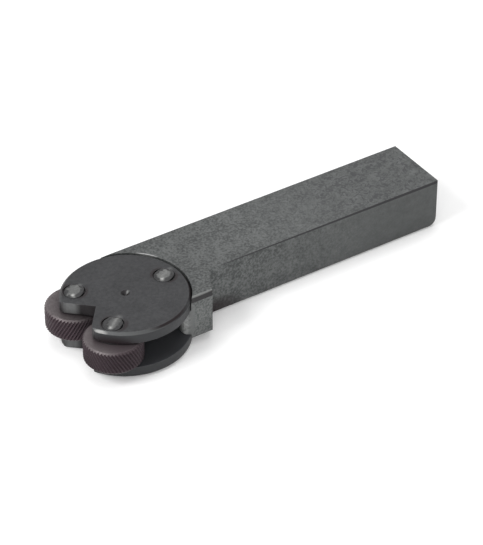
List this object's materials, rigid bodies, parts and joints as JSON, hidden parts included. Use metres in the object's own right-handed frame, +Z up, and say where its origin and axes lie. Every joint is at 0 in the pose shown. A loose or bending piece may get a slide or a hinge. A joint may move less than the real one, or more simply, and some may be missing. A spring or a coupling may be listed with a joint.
{
  "type": "knurling tool",
  "caption": "Lathe knurling tool: a rectangular shank whose round, rocking head holds a pair of diagonal knurling wheels on pins.",
  "frame": {"origin": "middle of the shank's underside, between the shoulder and the rear end", "axes": "+X along the shank from the head to the rear end, +Z up out of the shank's top face, the wheels at -X"},
  "size_m": [0.1394, 0.0412, 0.0181],
  "materials": {
    "holder_steel": "blasted and phosphated, dark grey",
    "head_steel": "turned and blackened",
    "pin_steel": "hardened, dull grey, peened ends",
    "wheel_steel": "hardened tool steel, brown-black",
    "washer_steel": "dull grey"
  },
  "bodies": {
    "holder": {"holder": "holder_steel"},
    "head": {"rocking_head": "head_steel", "wheel_pin_left": "pin_steel", "wheel_pin_right": "pin_steel", "swing_pin": "pin_steel", "lower_washer_left": "washer_steel", "upper_washer_left": "washer_steel", "lower_washer_right": "washer_steel", "upper_washer_right": "washer_steel"},
    "wheel_left": {"knurl_wheel_left": "wheel_steel"},
    "wheel_right": {"knurl_wheel_right": "wheel_steel"}
  },
  "joints": [
    {"name": "head_rock", "type": "hinge", "parent": "holder", "child": "head", "pos_m": [-0.07245, -0.008, 0.00875], "axis": [0, 0, 1], "range_deg": [-10.5, 1.5]},
    {"name": "wheel_left_spin", "type": "hinge", "parent": "head", "child": "wheel_left", "pos_m": [-0.08533, 0.00132, 0.00875], "axis": [0, 0, 1], "continuous": true},
    {"name": "wheel_right_spin", "type": "hinge", "parent": "head", "child": "wheel_right", "pos_m": [-0.08372, -0.01922, 0.00875], "axis": [0, 0, 1], "continuous": true}
  ]
}
